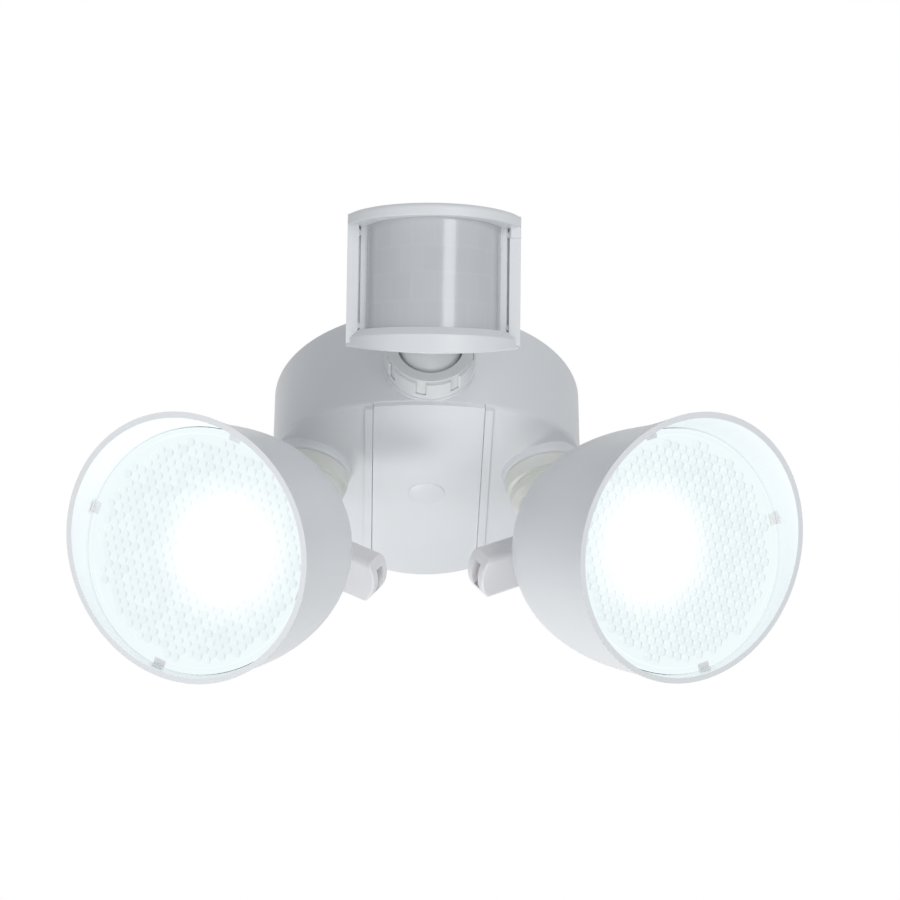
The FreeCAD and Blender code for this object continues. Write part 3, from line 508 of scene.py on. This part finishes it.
windowShape = {
    "half": 28.2,
    "bulge": 26.4,
    "wall": 1.0,
    "top": 22.05,
    "sill": -20.75,
    "sillSlope": 5.0,
    "across": 144,
    "upward": 64,
    "columns": 9,              # lenslets across the window
    "tiers": (0.0, 0.24, 0.5, 0.74, 1.0),
    "tierShift": 0.5,          # every second tier is moved over by half a lenslet
    "seamFade": (0.15, 0.75),
    "facetHash": (12.9, 78.2, 43758.5),
    "flange": (26.8, 28.15),   # the lip down each side of the window, beside the jambs
    "flangeDepth": 4.7,
    "flangeBevel": 0.25,
}

windowLook = {
    "colour": (0.56, 0.58, 0.605),
    "roughness": 0.16,
    "grain": 700.0,
    "cloud": 0.06,
    "bump": 0.05,
    "bumpDistance": 0.0003,
    "facetTint": (0.965, 0.965, 0.975),
    "seamColour": (0.64, 0.66, 0.68),
    "seamStrength": 0.18,
    "coat": 0.25,
    "coatRoughness": 0.2,
}


def sensorMatrix():
    turn = Matrix.Rotation(math.radians(sensorPlace["pitch"]), 4, "X")
    return Matrix.Translation(Vector(sensorPlace["origin"]) * mm) @ turn


def windowMaterial():
    look = windowLook
    material, principled = startMaterial("sensorWindow")
    tree = material.node_tree
    tint = addSkin(tree, principled, look["colour"], look["roughness"], look["grain"],
                   look["cloud"], look["bump"], look["bumpDistance"])
    patch = colourMix(tree, attributeMask(tree, "facet"), tint, (*look["facetTint"], 1),
                      "MULTIPLY")
    fade = mathNode(tree, "MULTIPLY", attributeMask(tree, "seam"), look["seamStrength"])
    line = colourMix(tree, fade, patch, (*look["seamColour"], 1))
    edge = colourMix(tree, attributeMask(tree, "flange"), line, (*housingColour, 1))
    tree.links.new(edge, principled.inputs["Base Color"])
    setInputs(principled, {"Coat Weight": look["coat"],
                           "Coat Roughness": look["coatRoughness"]})
    return material


def makeWindow():
    s = windowShape
    radius = arcRadius(s["half"], s["bulge"])
    centreY = radius - s["bulge"]
    endAngle = math.acos(centreY / radius)
    across, upward = s["across"], s["upward"]
    shape = bmesh.new()
    facet, seam, flange = [shape.verts.layers.float.new(name)
                           for name in ("facet", "seam", "flange")]

    def floorAt(y):
        return s["sill"] + y * math.tan(math.radians(s["sillSlope"]))

    def tierOf(height):
        for index, (low, high) in enumerate(zip(s["tiers"], s["tiers"][1:])):
            if height <= high:
                return index, min(height - low, high - height)
        return len(s["tiers"]) - 2, 0.0

    def markLenslet(vert, i, height):
        tier, toEdge = tierOf(height)
        place = i / across * s["columns"] + s["tierShift"] * (tier % 2)
        beside = abs(place - round(place)) / s["columns"] * 2 * endAngle * radius
        above = toEdge * (s["top"] - s["sill"])
        vert[seam] = 1.0 - smoothStep(*s["seamFade"], min(beside, above))
        vert[facet] = scatter(int(place), tier, s["facetHash"])

    def sheet(sheetRadius, marked):
        grid = []
        for i in range(across + 1):
            a = -endAngle + 2 * endAngle * i / across
            x = sheetRadius * math.sin(a)
            y = centreY - sheetRadius * math.cos(a)
            column = []
            for j in range(upward + 1):
                height = j / upward
                z = floorAt(y) + (s["top"] - floorAt(y)) * height
                vert = shape.verts.new((x, y, z))
                if marked:
                    markLenslet(vert, i, height)
                column.append(vert)
            grid.append(column)
        for near, far in zip(grid, grid[1:]):
            for j in range(upward):
                shape.faces.new((near[j], far[j], far[j + 1], near[j + 1]))
        return grid

    outer = sheet(radius, True)
    inner = sheet(radius - s["wall"], False)
    for i in range(across):
        n = i + 1
        shape.faces.new((outer[i][0], inner[i][0], inner[n][0], outer[n][0]))
        shape.faces.new((outer[i][upward], outer[n][upward], inner[n][upward],
                         inner[i][upward]))
    for j in range(upward):
        for i in (0, across):
            shape.faces.new((outer[i][j], outer[i][j + 1], inner[i][j + 1], inner[i][j]))

    nearX, farX = s["flange"]
    deep, bevel = -s["flangeDepth"], s["flangeBevel"]
    section = [(nearX, 0), (nearX, deep + bevel), (nearX + bevel, deep),
               (farX - bevel, deep), (farX, deep + bevel), (farX, 0)]
    for hand in (-1, 1):
        foot = [shape.verts.new((hand * x, y, floorAt(y))) for x, y in section]
        head = [shape.verts.new((hand * x, y, s["top"])) for x, y in section]
        for k in range(len(section)):
            n = (k + 1) % len(section)
            shape.faces.new((foot[k], foot[n], head[n], head[k]))
        for end in (foot, head):
            shape.faces.new(end)
            for vert in end:
                vert[flange] = 1.0
    window = meshObject("sensorWindow", shape, sensorMatrix(), windowMaterial())
    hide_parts("sensor_lens")
    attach(window, "sensor_head")


makeWindow()
print("sensor window made")

roofEdge = {
    "half": 35.5,
    "jambDepth": 6.5,    # how far forward the side frames' front corners lie
    "bulge": 30.12,
    "low": 22.0,
    "top": 27.27,
    "round": 2.2,
    "roundSteps": 8,
    "chamfer": 0.3,
    "depth": 3.5,
    "steps": 96,
}


def makeRoofEdge():
    # the brow of the sensor's roof, drawn out to the front corners of its side frames
    s = roofEdge
    radius = arcRadius(s["half"], s["bulge"] - s["jambDepth"])
    centreY = radius - s["bulge"]
    endAngle = math.asin(s["half"] / radius)
    section = [(-s["depth"], s["low"]), (-s["chamfer"], s["low"]),
               (0, s["low"] + s["chamfer"])]
    for k in range(s["roundSteps"] + 1):
        a = math.radians(90 * k / s["roundSteps"])
        section.append((s["round"] * (math.cos(a) - 1),
                        s["top"] + s["round"] * (math.sin(a) - 1)))
    section.append((-s["depth"], s["top"]))
    shape = bmesh.new()
    rings = []
    for i in range(s["steps"] + 1):
        a = -endAngle + 2 * endAngle * i / s["steps"]
        ring = []
        for out, z in section:
            far = radius + out
            ring.append(shape.verts.new((far * math.sin(a), centreY - far * math.cos(a), z)))
        rings.append(ring)
    for low, high in zip(rings, rings[1:]):
        for k in range(len(section)):
            n = (k + 1) % len(section)
            shape.faces.new((low[k], high[k], high[n], low[n]))
    shape.faces.new(rings[0])
    shape.faces.new(rings[-1])
    edge = meshObject("sensorRoofEdge", shape, sensorMatrix(), finishes["housing"])
    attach(edge, "sensor_head")


makeRoofEdge()
print("sensor roof edge made")

room = {
    "middle": (0.0, -0.05, -0.06),     # what the lamps point at
    "floorDrop": 2.0,
    "floorSize": 4.0,
    "floorCells": 8,
    "floorColour": (0.92, 0.92, 0.92),
    "floorRoughness": 0.9,
    "background": (1, 1, 1),           # seen directly, in shiny faces and through clear ones
    "airColour": (0.93, 0.96, 1.0),    # what lights the part from all around
    "airStrength": 0.412,
}

softBoxes = {
    "boxBelow": {"place": (0.15, -0.25, -1.3), "size": (0.9, 0.9), "power": 3.7},
    "boxStrip": {"place": (0.50, -1.2, -0.42), "size": (0.42, 0.8), "power": 4.6},
    "boxBackLeft": {"place": (-0.45, 0.5, -1.1), "size": (0.4, 0.4), "power": 4.55},
    "boxFrontLeft": {"place": (-0.7, -0.9, -0.9), "size": (0.5, 0.5), "power": 1.25},
    "boxLeft": {"place": (-0.9, -0.4, -0.9), "size": (0.6, 0.6), "power": 1.15},
}


def makeWorld():
    world = bpy.data.worlds.new("studio")
    bpy.context.scene.world = world
    world.use_nodes = True
    tree = world.node_tree
    tree.nodes.clear()
    seen = addNode(tree, "ShaderNodeBackground",
                   {"Color": (*room["background"], 1), "Strength": 1.0})
    lit = addNode(tree, "ShaderNodeBackground",
                  {"Color": (*room["airColour"], 1), "Strength": room["airStrength"]})
    path = addNode(tree, "ShaderNodeLightPath").outputs
    whiteRay = path["Is Camera Ray"]
    for ray in ("Is Glossy Ray", "Is Transmission Ray"):
        whiteRay = mathNode(tree, "MAXIMUM", whiteRay, path[ray])
    pick = addNode(tree, "ShaderNodeMixShader", {
        "Fac": whiteRay, 1: lit.outputs["Background"], 2: seen.outputs["Background"]})
    addNode(tree, "ShaderNodeOutputWorld", {"Surface": pick.outputs["Shader"]})


def softLamp(name, settings):
    light = bpy.data.lights.new(name, "AREA")
    light.shape = "RECTANGLE"
    light.size, light.size_y = settings["size"]
    light.energy = settings["power"]
    lamp = bpy.data.objects.new(name, light)
    bpy.context.collection.objects.link(lamp)
    lamp.location = settings["place"]
    aim = Vector(room["middle"]) - Vector(settings["place"])
    lamp.rotation_euler = aim.to_track_quat("-Z", "Y").to_euler()


def makeFloor():
    mesh = bpy.data.meshes.new("studioFloor")
    shape = bmesh.new()
    cells = room["floorCells"]
    bmesh.ops.create_grid(shape, x_segments=cells, y_segments=cells, size=room["floorSize"])
    shape.to_mesh(mesh)
    shape.free()
    floor = bpy.data.objects.new("studioFloor", mesh)
    floor.location = (0, 0, -room["floorDrop"])
    bpy.context.collection.objects.link(floor)
    material, principled = startMaterial("studioPaper")
    setInputs(principled, {"Base Color": (*room["floorColour"], 1),
                           "Roughness": room["floorRoughness"]})
    mesh.materials.append(material)


makeWorld()
makeFloor()
for name, settings in softBoxes.items():
    softLamp(name, settings)

cameraSettings = {
    "azimuth": -1.55,
    "elevation": -34.5,
    "distance": 1.4,
    "sensor": 36.0,
    "lens": 122.92,
    "aimRight": 0.0106,
    "aimUp": -0.0219,
}


def makeCamera():
    s = cameraSettings
    a = math.radians(s["azimuth"])
    e = math.radians(s["elevation"])
    back = Vector((math.sin(a) * math.cos(e), -math.cos(a) * math.cos(e), math.sin(e)))
    right = Vector((math.cos(a), math.sin(a), 0))
    up = back.cross(right)
    aim = right * s["aimRight"] + up * s["aimUp"]
    turn = Matrix((right, up, back)).transposed().to_4x4()
    data = bpy.data.cameras.new("photoCamera")
    data.sensor_width = s["sensor"]
    data.sensor_fit = "HORIZONTAL"
    data.lens = s["lens"]
    camera = bpy.data.objects.new("photoCamera", data)
    camera.matrix_world = Matrix.Translation(aim + back * s["distance"]) @ turn
    bpy.context.collection.objects.link(camera)
    bpy.context.scene.camera = camera


makeCamera()
bpy.context.scene.view_settings.view_transform = "Standard"
print("camera and lamps set")
